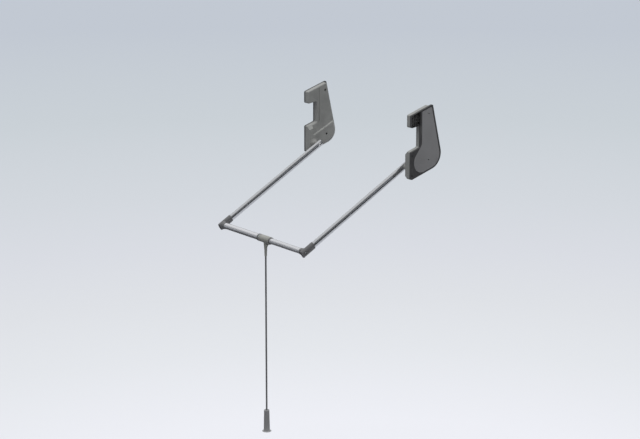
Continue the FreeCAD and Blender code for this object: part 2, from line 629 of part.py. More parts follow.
def stop_disc():
    """Disc with the stop lug, keyed to the pinion behind it, drawn on a level arm."""
    disc = cylinder_x(DISC_R, DISC_X, HUB_START_X)
    lug_angle = LUG_ANGLE - LOWERED_ANGLE
    lug = sector(HUB_JOURNAL_R, DISC_R + LUG_REACH, DISC_X, HUB_START_X, lug_angle, LUG_WIDTH)
    disc = disc.multiFuse([key_bar(DISC_X - KEY_DEPTH, DISC_X), lug])
    disc = disc.cut(key_bar(HUB_START_X - KEY_DEPTH, HUB_START_X + PAST))
    return disc.cut(cylinder_x(BUSH_R, 0, AXLE_END_X)).removeSplitter()


def arm_tongue(gap=0.0):
    """Key between the hub and the arm, or its slot when a gap is given."""
    half_y, half_z = HUB_TONGUE_LENGTH / 2 + gap, HUB_TONGUE_HEIGHT / 2 + gap
    return box(ARM_FACE, ARM_FACE + HUB_TONGUE + gap, -half_y, half_y, -half_z, half_z)


def arm_hub():
    """Hub with a horn that carries the arm, drawn on a level arm."""
    span = HUB_NECK_X - HORN_X
    bend = (HORN_X + span * HUB_BEND[0], HUB_NECK_R + (HUB_HORN_R - HUB_NECK_R) * HUB_BEND[1])
    hub = turned([
        ((HUB_START_X, HUB_JOURNAL_R), (HORN_X, HUB_JOURNAL_R)),
        ((HORN_X, HUB_JOURNAL_R), (HORN_X, HUB_HORN_R)),
        ((HORN_X, HUB_HORN_R), bend, (HUB_NECK_X, HUB_NECK_R)),
        ((HUB_NECK_X, HUB_NECK_R), (ARM_FACE + HUB_SADDLE, HUB_NECK_R)),
    ])
    hub = hub.cut(oval_bar(ARM_THICKNESS, ARM_HEIGHT, -ARM_HEIGHT, ARM_HEIGHT))
    hub = hub.multiFuse([key_bar(HUB_START_X - KEY_DEPTH, HUB_START_X), arm_tongue()])
    hub = hub.cut(cylinder_x(BUSH_R, 0, AXLE_END_X + FREE_GAP))
    return hub.cut(cylinder_x(PIVOT_BOLT_R + FREE_GAP, 0, ARM_INSET)).removeSplitter()


def stop_pads():
    """Rubber pads inside the cover that stop the hub's lug at both ends of the swing."""
    inner = DISC_R + FREE_GAP
    outer = inner + PAD_REACH
    end = BOSS_THICKNESS - SHELL_WALL
    low = LUG_ANGLE + LUG_WIDTH / 2 + PAD_WIDTH / 2
    high = LUG_ANGLE - LIFT_ANGLE - LUG_WIDTH / 2 - PAD_SPARE - PAD_WIDTH / 2
    pads = [sector(inner, outer, DISC_X, end, angle, PAD_WIDTH) for angle in (low, high)]
    return Part.makeCompound(pads)


# ================================================================ rack, pinion and spring
def gear_sizes():
    pitch_r = GEAR_MODULE * PINION_TEETH / 2
    return pitch_r, pitch_r - 1.25 * GEAR_MODULE, pitch_r + GEAR_MODULE


def pinion():
    """Spur pinion with a tooth on the rack's side when the arms are lowered."""
    pitch_r, root_r, tip_r = gear_sizes()
    pressure = math.radians(PRESSURE_ANGLE)
    base_r = pitch_r * math.cos(pressure)
    half_tooth = math.pi / (2 * PINION_TEETH) - TOOTH_THINNING / (2 * pitch_r)
    flank = []
    steps = 4
    for i in range(steps + 1):
        radius = base_r + (tip_r - base_r) * i / steps
        roll = math.sqrt(max((radius / base_r) ** 2 - 1, 0))
        spread = half_tooth + math.tan(pressure) - pressure - (roll - math.atan(roll))
        flank.append((radius, spread))
    flank.insert(0, (root_r, flank[0][1]))
    points = []
    for tooth in range(PINION_TEETH):
        centre = 2 * math.pi * tooth / PINION_TEETH
        outline = [(radius, centre - spread) for radius, spread in flank]
        outline += [(radius, centre + spread) for radius, spread in reversed(flank)]
        points += [Vector(PINION_X, r * math.cos(a), r * math.sin(a)) for r, a in outline]
    face = Part.Face(Part.makePolygon(points + points[:1]))
    wheel = face.extrude(Vector(DISC_X - PINION_X, 0, 0))
    wheel = wheel.cut(cylinder_x(BUSH_R, PINION_X - PAST, DISC_X + PAST))
    return wheel.cut(lowered(key_bar(DISC_X - KEY_DEPTH, DISC_X + PAST)))


def rack_plunger():
    """Rack behind the pinion, with the foot that carries the lift spring."""
    pitch_r, _, _ = gear_sizes()
    pitch = math.pi * GEAR_MODULE
    slope = math.tan(math.radians(PRESSURE_ANGLE))
    tip_y, root_y = pitch_r - GEAR_MODULE, pitch_r + 1.25 * GEAR_MODULE
    half = pitch / 4 - TOOTH_THINNING / 2
    tip_half, root_half = half - GEAR_MODULE * slope, half + 1.25 * GEAR_MODULE * slope
    points = [(root_y, -pitch)]
    for tooth in range(-1, RACK_TOOTH_PITCHES_ABOVE):
        middle = (tooth + 0.5) * pitch
        points += [(root_y, middle - root_half), (tip_y, middle - tip_half),
                   (tip_y, middle + tip_half), (root_y, middle + root_half)]
    floor_top = PLUNGER_FLOOR_Z + PLUNGER_FLOOR
    slanted_end = (RACK_BACK_Y - root_y) * TILT - pitch
    points += [(root_y, floor_top), (RACK_BACK_Y, floor_top), (RACK_BACK_Y, slanted_end)]
    rack = Part.Face(Part.makePolygon([Vector(RACK_X, y, z) for y, z in points + points[:1]]))
    rack = rack.extrude(Vector(RACK_WIDTH, 0, 0))
    foot = box(RACK_X, RACK_X + RACK_WIDTH, RACK_BACK_Y - PAST, SPRING_Y, PLUNGER_FLOOR_Z, floor_top)
    cup = cylinder_z(SPRING_CAP_R, PLUNGER_FLOOR_Z, floor_top, RACK_MIDDLE_X, SPRING_Y)
    spigot_r = SPRING_R - SPRING_WIRE_R - FREE_GAP
    spigot = cylinder_z(spigot_r, floor_top, floor_top + PLUNGER_FLOOR / 2, RACK_MIDDLE_X, SPRING_Y)
    bore = cylinder_z(GUIDE_ROD_R + RUNNING_GAP, 0, SPRING_TOP_Z, RACK_MIDDLE_X, SPRING_Y)
    return rack.multiFuse([foot, cup, spigot]).cut(bore).removeSplitter()


def lift_spring():
    low = PLUNGER_FLOOR_Z + PLUNGER_FLOOR + SPRING_WIRE_R
    height = SPRING_TOP_Z - SPRING_WIRE_R - low
    helix = Part.makeHelix(height / SPRING_TURNS, height, SPRING_R)
    lead = Vector(0, 2 * math.pi * SPRING_R, height / SPRING_TURNS)
    ring = Part.Wire(Part.Circle(Vector(SPRING_R, 0, 0), lead, SPRING_WIRE_R).toShape())
    coil = Part.Wire(helix.Edges).makePipeShell([ring], True, True)
    coil.translate(Vector(RACK_MIDDLE_X, SPRING_Y, low))
    return coil


def spring_cap():
    """Cap under the housing's slanted top that the spring pushes against."""
    cap = cylinder_z(SPRING_CAP_R, SPRING_TOP_Z, top_z(SPRING_Y), RACK_MIDDLE_X, SPRING_Y)
    room = side_slab(inset(housing_outline(COVER_REAR_STEP), SHELL_WALL), 0, SPINE_THICKNESS)
    seat_z = SPRING_TOP_Z + GUIDE_ROD_SEAT
    bore = cylinder_z(GUIDE_ROD_R, SPRING_TOP_Z - PAST, seat_z, RACK_MIDDLE_X, SPRING_Y)
    return cap.common(room).cut(bore)


def spring_guide_rod():
    seat_z = SPRING_TOP_Z + GUIDE_ROD_SEAT
    return cylinder_z(GUIDE_ROD_R, GUIDE_ROD_BOTTOM_Z, seat_z, RACK_MIDDLE_X, SPRING_Y)


# ================================================================ arms and corners
def arm_tube():
    low_y, high_y = ARM_STOP - ARM_LENGTH, ARM_OVERRUN
    tube = oval_bar(ARM_THICKNESS, ARM_HEIGHT, low_y, high_y)
    bore_thickness, bore_height = ARM_THICKNESS - 2 * ARM_WALL, ARM_HEIGHT - 2 * ARM_WALL
    tube = tube.cut(oval_bar(bore_thickness, bore_height, low_y - PAST, high_y + PAST))
    hole = cylinder_x(PIVOT_BOLT_R + FREE_GAP, ARM_INSET, ARM_INSET + ARM_THICKNESS)
    return tube.cut(arm_tongue(FIT_GAP)).cut(hole)


def arm_end_plug():
    thickness = ARM_THICKNESS - 2 * (ARM_WALL + FIT_GAP)
    height = ARM_HEIGHT - 2 * (ARM_WALL + FIT_GAP)
    plug = oval_bar(thickness, height, ARM_OVERRUN - PLUG_LENGTH, ARM_OVERRUN)
    lip = oval_bar(ARM_THICKNESS, ARM_HEIGHT, ARM_OVERRUN, ARM_OVERRUN + PLUG_LIP)
    bore = cylinder_x(PIVOT_BOLT_R + FREE_GAP, ARM_FACE - PAST, ARM_INSET + ARM_THICKNESS)
    return plug.fuse(lip).cut(arm_tongue(FIT_GAP)).cut(bore).removeSplitter()


def corner_elbow(rod_r):
    """Plastic corner: socket for the arm, bell neck for the rod, web between them."""
    y = -ARM_LENGTH
    thickness, height = ARM_THICKNESS + 2 * ELBOW_WALL, ARM_HEIGHT + 2 * ELBOW_WALL
    end_y, mouth_y = y - ELBOW_END, y + ELBOW_MOUTH
    body = oval_bar(thickness, height, end_y, mouth_y)
    rim = [edge for edge in body.Edges if edge.BoundBox.YMax < end_y + PAST]
    body = body.makeChamfer(ELBOW_EDGE, rim)
    face = ARM_INSET + thickness / 2
    neck_end = ARM_INSET + NECK_REACH
    neck_r = rod_r + FIT_GAP + NECK_WALL
    bend = (face + (neck_end - face) * NECK_BEND[0], neck_r + NECK_FLARE * NECK_BEND[1])
    neck = turned([((ARM_INSET, neck_r + NECK_FLARE), (face, neck_r + NECK_FLARE)),
                   ((face, neck_r + NECK_FLARE), bend, (neck_end, neck_r))], y)
    web_y, root = y + neck_r + GUSSET_RISE, face - ELBOW_WALL
    web_points = [Vector(root, y, -GUSSET / 2), Vector(face + GUSSET_REACH, y, -GUSSET / 2),
                  Vector(face, web_y, -GUSSET / 2), Vector(root, web_y, -GUSSET / 2)]
    web = Part.Face(Part.makePolygon(web_points + web_points[:1])).extrude(Vector(0, 0, GUSSET))
    elbow = body.multiFuse([neck, web])
    socket = (ARM_THICKNESS + 2 * FIT_GAP, ARM_HEIGHT + 2 * FIT_GAP)
    elbow = elbow.cut(oval_bar(*socket, y + ARM_STOP, mouth_y + PAST))
    elbow = elbow.cut(cylinder_x(rod_r + FIT_GAP, ARM_INSET + ROD_START, neck_end + PAST, y))
    outer_face = ARM_INSET - thickness / 2
    elbow = elbow.cut(cylinder_x(CORNER_SCREW_R + FIT_GAP, outer_face - PAST, neck_end, y))
    recess = cylinder_x(CORNER_RECESS_R, outer_face - PAST, outer_face + CORNER_RECESS, y)
    return elbow.cut(recess).removeSplitter()


def corner_screw():
    seat = ARM_INSET - ARM_THICKNESS / 2 - ELBOW_WALL + CORNER_RECESS
    head = cylinder_x(CORNER_SCREW_HEAD_R, seat - CORNER_SCREW_HEAD, seat, -ARM_LENGTH)
    shank = cylinder_x(CORNER_SCREW_R, seat, seat + CORNER_SCREW_LENGTH, -ARM_LENGTH)
    top = seat - CORNER_SCREW_HEAD
    screw = head.fuse(shank)
    for width, height in ((CORNER_SCREW_CROSS, SCREW_SLOT), (SCREW_SLOT, CORNER_SCREW_CROSS)):
        y_from, y_to = -ARM_LENGTH - width / 2, -ARM_LENGTH + width / 2
        floor = top + CORNER_SCREW_HEAD / 2
        screw = screw.cut(box(top - PAST, floor, y_from, y_to, -height / 2, height / 2))
    return screw


def rod_end_plug(bore_r):
    start = ARM_INSET + ROD_START
    plug = cylinder_x(bore_r, start, start + ROD_PLUG, -ARM_LENGTH)
    return plug.cut(cylinder_x(CORNER_SCREW_R, start - PAST, start + ROD_PLUG + PAST, -ARM_LENGTH))


# ================================================================ hanging rod
def outer_rod_tube():
    return tube_x(OUTER_ROD_R, OUTER_ROD_BORE, ARM_INSET + ROD_START, OUTER_ROD_END, ROD_Y, ROD_Z)


def stop_ring():
    """Ring pressed on the outer rod tube, left of the pull handle."""
    end = STOP_RING_X + STOP_RING_WIDTH
    return tube_x(OUTER_ROD_R + STOP_RING_WALL, OUTER_ROD_R, STOP_RING_X, end, ROD_Y, ROD_Z)


def rod_end_collar():
    """Collar on the end of the outer rod tube that guides the inner one."""
    lip_end = OUTER_ROD_END + COLLAR_LIP
    sleeve = tube_x(SWIVEL_R, OUTER_ROD_R, SADDLE_END + FREE_GAP, OUTER_ROD_END, ROD_Y, ROD_Z)
    lip = tube_x(SWIVEL_R, INNER_ROD_R + RUNNING_GAP, OUTER_ROD_END, lip_end, ROD_Y, ROD_Z)
    return sleeve.fuse(lip).removeSplitter()


def inner_rod_tube():
    end = WALL_SPAN - ARM_INSET - ROD_START
    return tube_x(INNER_ROD_R, INNER_ROD_BORE, OUTER_ROD_END - ROD_OVERLAP, end, ROD_Y, ROD_Z)


def inner_tube_glide():
    """Glide in the inner tube's end that runs in the outer tube."""
    start = OUTER_ROD_END - ROD_OVERLAP
    bore = INNER_ROD_BORE - INNER_ROD_WALL
    lip = tube_x(OUTER_ROD_BORE - RUNNING_GAP, bore, start - GLIDE_LIP, start, ROD_Y, ROD_Z)
    spigot = tube_x(INNER_ROD_BORE, bore, start, start + GLIDE_SPIGOT, ROD_Y, ROD_Z)
    return lip.fuse(spigot).removeSplitter()


# ================================================================ pull handle
def swivel_bush():
    """Nylon sleeve between the rod and the saddle, with a flange at the saddle's left end."""
    bore = OUTER_ROD_R + RUNNING_GAP
    flange_end = SADDLE_START - FREE_GAP
    sleeve = tube_x(SWIVEL_R, bore, STOP_RING_X + STOP_RING_WIDTH + FREE_GAP, SADDLE_END, ROD_Y, ROD_Z)
    flange = tube_x(SADDLE_R, bore, flange_end - SWIVEL_FLANGE, flange_end, ROD_Y, ROD_Z)
    return sleeve.fuse(flange).removeSplitter()


def oval_ring(drop, half_width, half_depth):
    """Elliptic section of the stem at a distance below the rod axis."""
    ring = Part.Ellipse(Vector(0, 0, 0), half_width, half_depth).toShape()
    ring.translate(Vector(HANDLE_X, ROD_Y, ROD_Z - drop))
    return Part.Wire(ring)


def stem():
    """Stem that tapers from the saddle to the pull rod."""
    sections = [oval_ring(SWIVEL_R, STEM_TOP_WIDTH / 2, STEM_TOP_DEPTH / 2),
                oval_ring(STEM_WAIST, STEM_WAIST_WIDTH / 2, STEM_WAIST_DEPTH / 2),
                oval_ring(STEM_LENGTH, STEM_END_R + FIT_GAP, STEM_END_R)]
    return Part.makeLoft(sections, True, False)


def spur():
    """Flat web under the saddle, to the right of the stem."""
    top, tip_z = ROD_Z - SWIVEL_R, ROD_Z - SADDLE_R - SADDLE_WALL
    tip_x, root_x = HANDLE_X + SPUR_REACH, HANDLE_X + STEM_WAIST_WIDTH / 2 - FIT_GAP
    waist = ROD_Z - STEM_WAIST
    bend = Vector((tip_x + root_x) / 2 - SPUR_HOLLOW, 0, (tip_z + waist) / 2 + SPUR_HOLLOW)
    edges = [
        Part.LineSegment(Vector(HANDLE_X, 0, top), Vector(tip_x, 0, top)).toShape(),
        Part.LineSegment(Vector(tip_x, 0, top), Vector(tip_x, 0, tip_z)).toShape(),
        Part.Arc(Vector(tip_x, 0, tip_z), bend, Vector(root_x, 0, waist)).toShape(),
        Part.LineSegment(Vector(root_x, 0, waist), Vector(HANDLE_X, 0, waist)).toShape(),
        Part.LineSegment(Vector(HANDLE_X, 0, waist), Vector(HANDLE_X, 0, top)).toShape(),
    ]
    web = Part.Face(Part.Wire(edges)).extrude(Vector(0, SPUR_THICKNESS, 0))
    web.translate(Vector(0, ROD_Y - SPUR_THICKNESS / 2, 0))
    return web


def stem_pin():
    """Pin through the stem that locks the pull rod, driven in from the rear."""
    half = STEM_PIN_LENGTH / 2
    return cylinder_y(STEM_PIN_R, ROD_Y - half, ROD_Y + half, HANDLE_X, STEM_PIN_Z)


def bracket():
    """Whole pull handle bracket, before it is split into a front and a rear half."""
    ring = cylinder_x(SADDLE_R, SADDLE_START, SADDLE_END, ROD_Y, ROD_Z)
    rims = [edge for edge in ring.Edges if edge.BoundBox.XLength < SADDLE_EDGE]
    whole = ring.makeFillet(SADDLE_EDGE, rims).multiFuse([stem(), spur()])
    whole = whole.cut(cylinder_x(SADDLE_BORE, SADDLE_START - PAST, SADDLE_END + PAST, ROD_Y, ROD_Z))
    end = ROD_Z - STEM_LENGTH
    whole = whole.cut(cylinder_z(PULL_ROD_R, end - PAST, end + PULL_ROD_SEAT, HANDLE_X, ROD_Y))
    whole = whole.cut(cylinder_y(CLIP_SCREW_R, SPUR_FRONT_Y, SPUR_FRONT_Y + SPUR_THICKNESS, CLIP_X, CLIP_Z))
    seat_r, seat_y = CLIP_SCREW_HEAD_R + FIT_GAP, SPUR_FRONT_Y + CLIP_SCREW_HEAD
    whole = whole.cut(cylinder_y(seat_r, SPUR_FRONT_Y - PAST, seat_y, CLIP_X, CLIP_Z))
    pin_end = ROD_Y + SADDLE_R
    return whole.cut(cylinder_y(STEM_PIN_R, ROD_Y - STEM_PIN_LENGTH / 2, pin_end, HANDLE_X, STEM_PIN_Z))


def bracket_half(y_from, y_to):
    low = ROD_Z - STEM_LENGTH - PAST
    keep = box(SADDLE_START - PAST, SADDLE_END + PAST, y_from, y_to, low, ROD_Z + SADDLE_R + PAST)
    return bracket().common(keep).removeSplitter()


def clip_screw():
    """Screw that holds the two bracket halves together."""
    seat = SPUR_FRONT_Y + CLIP_SCREW_HEAD
    head = cylinder_y(CLIP_SCREW_HEAD_R, SPUR_FRONT_Y, seat, CLIP_X, CLIP_Z)
    shank = cylinder_y(CLIP_SCREW_R, seat, SPUR_FRONT_Y + SPUR_THICKNESS, CLIP_X, CLIP_Z)
    socket_end = SPUR_FRONT_Y + CLIP_SCREW_HEAD / 2
    socket = cylinder_y(CLIP_SCREW_SOCKET_R, SPUR_FRONT_Y - PAST, socket_end, CLIP_X, CLIP_Z)
    return head.fuse(shank).cut(socket).removeSplitter()


def pull_rod():
    top = ROD_Z - STEM_LENGTH + PULL_ROD_SEAT
    rod = cylinder_z(PULL_ROD_R, GRIP_HIGH_Z - GRIP_SEAT, top, HANDLE_X, ROD_Y)
    return rod.cut(cylinder_y(STEM_PIN_R, ROD_Y - SADDLE_R, ROD_Y + SADDLE_R, HANDLE_X, STEM_PIN_Z))


def lathe_z(points):
    """Turn (radius, z) points about the pull rod's axis."""
    ends = [(0, points[-1][1]), (0, points[0][1])]
    outline = [Vector(r, 0, z) for r, z in points + ends]
    face = Part.Face(Part.makePolygon(outline + outline[:1]))
    solid = face.revolve(Vector(0, 0, 0), Vector(0, 0, 1), 360)
    solid.translate(Vector(HANDLE_X, ROD_Y, 0))
    return solid


def grip():
    """Fluted grip, a little wider at the foot, with a flat top dished around the pull rod."""
    body = lathe_z([(GRIP_END_R, GRIP_LOW_Z), (GRIP_TOP_R, GRIP_HIGH_Z - GRIP_EDGE),
                    (GRIP_TOP_R - GRIP_EDGE, GRIP_HIGH_Z), (GRIP_DISH_R, GRIP_HIGH_Z),
                    (PULL_ROD_R, GRIP_HIGH_Z - GRIP_DISH)])
    flute_length = GRIP_LENGTH - 2 * GRIP_FLUTE_START
    for i in range(GRIP_FLUTES):
        angle = 2 * math.pi * i / GRIP_FLUTES
        outwards = Vector(math.cos(angle), math.sin(angle), 0)
        start = Vector(HANDLE_X, ROD_Y, GRIP_LOW_Z + GRIP_FLUTE_START) + outwards * GRIP_END_R
        along = outwards * (GRIP_TOP_R - GRIP_END_R) + Vector(0, 0, GRIP_LENGTH)
        body = body.cut(Part.makeCylinder(GRIP_FLUTE_R, flute_length, start, along))
    return body.cut(cylinder_z(PULL_ROD_R, GRIP_HIGH_Z - GRIP_SEAT, GRIP_HIGH_Z + PAST, HANDLE_X, ROD_Y))


def grip_foot():
    """Thin disc under the grip that keeps the hand from slipping off."""
    low = ROD_Z - HANDLE_LENGTH
    return lathe_z([(GRIP_FOOT_R - GRIP_FOOT_EDGE, low), (GRIP_FOOT_R, low + GRIP_FOOT_EDGE),
                    (GRIP_FOOT_R, low + GRIP_FOOT_LIP), (GRIP_END_R, low + GRIP_FOOT)])


# ================================================================ the whole part
SIDE_PIECES = {
    "wall_plate": wall_plate(),
    "back_shell": back_shell(),
    "inner_cover": inner_cover(),
    "case_screws": case_screws(),
    "pivot_axle": pivot_axle(),
    "pivot_bolt": pivot_bolt(),
    "pivot_bush": pivot_bush(),
    "hub_bearing": hub_bearing(),
    "stop_pads": stop_pads(),
    "pinion": pinion(),
    "rack_plunger": rack_plunger(),
    "lift_spring": lift_spring(),
    "spring_cap": spring_cap(),
    "spring_guide_rod": spring_guide_rod(),
    "stop_disc": lowered(stop_disc()),
    "arm_hub": lowered(arm_hub()),
    "arm_tube": lowered(arm_tube()),
    "arm_end_plug": lowered(arm_end_plug()),
    "corner_screw": lowered(corner_screw()),
}

NODES = {}
for name, piece in SIDE_PIECES.items():
    NODES["left_" + name] = piece
    NODES["right_" + name] = mirrored(piece)
NODES["left_corner_elbow"] = lowered(corner_elbow(OUTER_ROD_R))
NODES["right_corner_elbow"] = mirrored(lowered(corner_elbow(INNER_ROD_R)))
NODES["left_rod_end_plug"] = lowered(rod_end_plug(OUTER_ROD_BORE))
NODES["right_rod_end_plug"] = mirrored(lowered(rod_end_plug(INNER_ROD_BORE)))
NODES["outer_rod_tube"] = outer_rod_tube()
NODES["stop_ring"] = stop_ring()
NODES["rod_end_collar"] = rod_end_collar()
NODES["inner_rod_tube"] = inner_rod_tube()
NODES["inner_tube_glide"] = inner_tube_glide()
NODES["swivel_bush"] = swivel_bush()
NODES["bracket_front"] = bracket_half(ROD_Y - SADDLE_R - PAST, ROD_Y)
NODES["bracket_rear"] = bracket_half(ROD_Y, ROD_Y + SADDLE_R + PAST)
NODES["clip_screw"] = clip_screw()
NODES["stem_pin"] = stem_pin()
NODES["pull_rod"] = pull_rod()
NODES["grip"] = grip()
NODES["grip_foot"] = grip_foot()

os.makedirs("parts", exist_ok=True)
for name, shape in NODES.items():
    shape.exportStep("parts/" + name + ".step")
print(len(NODES), "nodes, rack travel", round(TRAVEL, 2), "mm")
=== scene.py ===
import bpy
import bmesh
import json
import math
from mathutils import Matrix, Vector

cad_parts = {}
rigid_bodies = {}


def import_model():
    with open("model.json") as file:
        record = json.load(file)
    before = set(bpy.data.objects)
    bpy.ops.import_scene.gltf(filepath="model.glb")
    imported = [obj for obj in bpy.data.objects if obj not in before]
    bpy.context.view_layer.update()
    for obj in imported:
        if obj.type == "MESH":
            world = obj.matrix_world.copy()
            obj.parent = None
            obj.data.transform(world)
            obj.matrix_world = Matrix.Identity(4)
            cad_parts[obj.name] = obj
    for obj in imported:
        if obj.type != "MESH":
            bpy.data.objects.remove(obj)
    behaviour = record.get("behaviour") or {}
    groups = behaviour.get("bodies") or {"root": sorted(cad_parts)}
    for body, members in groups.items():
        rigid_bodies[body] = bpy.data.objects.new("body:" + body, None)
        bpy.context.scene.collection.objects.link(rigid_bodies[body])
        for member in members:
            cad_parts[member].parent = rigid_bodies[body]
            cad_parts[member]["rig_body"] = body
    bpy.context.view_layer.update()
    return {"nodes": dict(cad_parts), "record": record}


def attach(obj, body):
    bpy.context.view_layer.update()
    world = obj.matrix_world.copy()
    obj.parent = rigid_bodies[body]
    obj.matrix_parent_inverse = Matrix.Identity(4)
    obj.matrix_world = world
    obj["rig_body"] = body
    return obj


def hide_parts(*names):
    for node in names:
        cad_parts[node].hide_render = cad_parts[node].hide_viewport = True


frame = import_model()

# %% [markdown]
# # A pull down closet rod
# Two spring housings are screwed to the side walls of a wardrobe. Each carries an oval arm, the
# arms carry a telescopic hanging rod, and a long pull handle brings the rod down to the user.
# The frame we loaded already holds every piece in its right place. In this lesson we give each
# piece its finish, round the edges of the moulded and pressed pieces, and set up a plain studio.

nodes = frame["nodes"]
print("pieces in the frame:", len(nodes))

# %% [markdown]
# ## The camera
# The lift is seen from the front right and slightly from above, with a long lens from far away,
# as in a catalogue, so that its two arms stay nearly parallel. A camera could be turned by hand
# until the view is right. We write the three directions of the view instead and make the
# camera's matrix from them, because that is exact and easy to change.

# %% Camera from the front right
TURN = math.radians(54.0)               # round the lift, from straight in front
RISE = math.radians(13.14)              # above the horizontal
DISTANCE = 9.0                          # metres from the lift
SIDE_SHIFT = -0.178                     # the camera goes left, so the lift goes right
UP_SHIFT = -0.2842                      # the camera goes down, so the lift goes up
MID_SPAN = Vector((0.390, 0.0, 0.0))    # halfway between the pivots
LENS_MM = 114.86
SENSOR_MM = 36.0
SIGHT = 200.0                           # how far the camera sees

view_right = Vector((math.cos(TURN), math.sin(TURN), 0.0))
view_back = Vector((
    math.sin(TURN) * math.cos(RISE),
    -math.cos(TURN) * math.cos(RISE),
    math.sin(RISE),
))
view_up = view_back.cross(view_right)

lens_data = bpy.data.cameras.new("catalogue_camera")
lens_data.sensor_width = SENSOR_MM
lens_data.lens = LENS_MM
lens_data.clip_end = SIGHT
camera = bpy.data.objects.new("catalogue_camera", lens_data)
bpy.context.scene.collection.objects.link(camera)
place = MID_SPAN + view_back * DISTANCE + view_right * SIDE_SHIFT + view_up * UP_SHIFT
turned = Matrix((view_right, view_up, view_back)).transposed().to_4x4()
camera.matrix_world = Matrix.Translation(place) @ turned
bpy.context.scene.camera = camera
print("camera at", [round(v, 3) for v in place])

# %% [markdown]
# ## Colours in plain numbers
# Blender wants four numbers for a colour, and the fourth says how solid it is. Every finish below
# also needs a lighter and a darker neighbour of its colour. Both could be typed in by hand, but
# then a change of colour would mean three changes, so two small functions work them out.

# %% Two helpers for colours
def opaque(colour):
    return (*colour, 1.0)


def shade(colour, factor, lift=0.0):
    """A lighter or darker neighbour of a colour."""
    return tuple(min(1.0, channel * factor + lift) for channel in colour)


print("half of white:", shade((1.0, 1.0, 1.0), 0.5))

# %% [markdown]
# ## Nodes without clutter
# A finish is a small network of shader nodes. We could add the nodes one by one in the shader
# editor, but eighteen finishes would be a long day of dragging links. This helper adds a node,
# sets its values, and links what we pass in. The sky uses it too.

# %% A helper for shader networks
class Network:
    """Adds nodes to a tree, with their values and links."""

    def __init__(self, tree):
        self.tree = tree

    def add(self, kind, inputs=(), **settings):
        node = self.tree.nodes.new(kind)
        for setting, value in settings.items():
            setattr(node, setting, value)
        for socket, value in dict(inputs).items():
            if isinstance(value, bpy.types.NodeSocket):
                self.tree.links.new(value, node.inputs[socket])
            else:
                node.inputs[socket].default_value = value
        return node

    def ramp(self, value, *stops):
        """Colours, or plain levels, blended along a value, from (position, colour) stops."""
        ramp = self.add("ShaderNodeValToRGB", {"Fac": value})
        elements = ramp.color_ramp.elements
        while len(elements) < len(stops):
            elements.new(0.5)
        for element, (position, colour) in zip(elements, stops):
            element.position = position
            element.color = opaque(colour if isinstance(colour, tuple) else (colour,) * 3)
        return ramp.outputs["Color"]

    def mix(self, share, first, second):
        """Two colours mixed. The mix node's colour sockets are numbers 6 and 7, its result 2."""
        inputs = {0: share, 6: first, 7: second}
        return self.add("ShaderNodeMix", inputs, data_type="RGBA").outputs[2]

    def math(self, operation, first, second):
        inputs = {0: first, 1: second}
        return self.add("ShaderNodeMath", inputs, operation=operation).outputs[0]


print("network helper ready")

# %% [markdown]
# ## A finish that stays on its piece
# When an arm swings, the grain of its coat has to swing with it. Object coordinates do that,
# because they are glued to the piece, so every pattern here starts from them. The rest of this
# helper holds the patterns and the three things that they drive: colour, roughness and relief.

# %% A material with patterns glued to the piece
class Finish(Network):
    """One material with a Principled shader.

    The plain colour and roughness stand in wherever patterns can't be read.
    """

    def __init__(self, name, colour, roughness, metallic=0.0, **sockets):
        self.material = bpy.data.materials.new(name)
        self.material.use_nodes = True
        super().__init__(self.material.node_tree)
        self.shader = self.tree.nodes["Principled BSDF"]
        sockets.update(Base_Color=opaque(colour), Roughness=roughness, Metallic=metallic)
        for socket, value in sockets.items():
            self.shader.inputs[socket.replace("_", " ")].default_value = value
        self.place = self.add("ShaderNodeTexCoord").outputs["Object"]
        self.bumps = None

    def turned(self, scale, rotation=(0.0, 0.0, 0.0)):
        """Coordinates turned and then stretched, for grain that runs one way."""
        turn = self.add("ShaderNodeMapping", {"Vector": self.place, "Rotation": rotation})
        stretch = self.add("ShaderNodeMapping", {"Vector": turn.outputs[0], "Scale": scale})
        return stretch.outputs[0]

    def noise(self, scale, detail=3.0, vector=None, roughness=0.5):
        inputs = {"Vector": vector or self.place, "Scale": scale}
        inputs.update({"Detail": detail, "Roughness": roughness})
        return self.add("ShaderNodeTexNoise", inputs).outputs["Fac"]

    def cells(self, scale):
        inputs = {"Vector": self.place, "Scale": scale}
        return self.add("ShaderNodeTexVoronoi", inputs).outputs["Distance"]

    def colour(self, socket):
        self.tree.links.new(socket, self.shader.inputs["Base Color"])

    def roughness(self, value, low, high):
        spread = self.add("ShaderNodeMapRange", {"Value": value, "To Min": low, "To Max": high})
        self.tree.links.new(spread.outputs[0], self.shader.inputs["Roughness"])

    def bump(self, height, depth, strength):
        """Adds relief of a real depth in metres on top of what is there."""
        inputs = {"Height": height, "Distance": depth, "Strength": strength}
        if self.bumps:
            inputs["Normal"] = self.bumps
        self.bumps = self.add("ShaderNodeBump", inputs).outputs[0]
        self.tree.links.new(self.bumps, self.shader.inputs["Normal"])


print("finish helper ready")

# %% [markdown]
# ## Moulded plastic
# The shells, elbows, bracket and grip are injection moulded. The mould is etched, so the surface
# has a fine pebbled grain that spreads the light. Modelling the pebbles would take millions of
# faces, so small cells and noise make them as relief. Broad, faint noise varies the colour,
# because a single flat colour looks like a drawing, and a little pale dust lies on top.

# %% Moulded plastic
PEBBLE_DEPTH = 0.00006
DUST_GREY = (0.55, 0.55, 0.54)
DUST_SHARE = 0.10
FINER = 2.2                # the second, finer noise against the pebbles


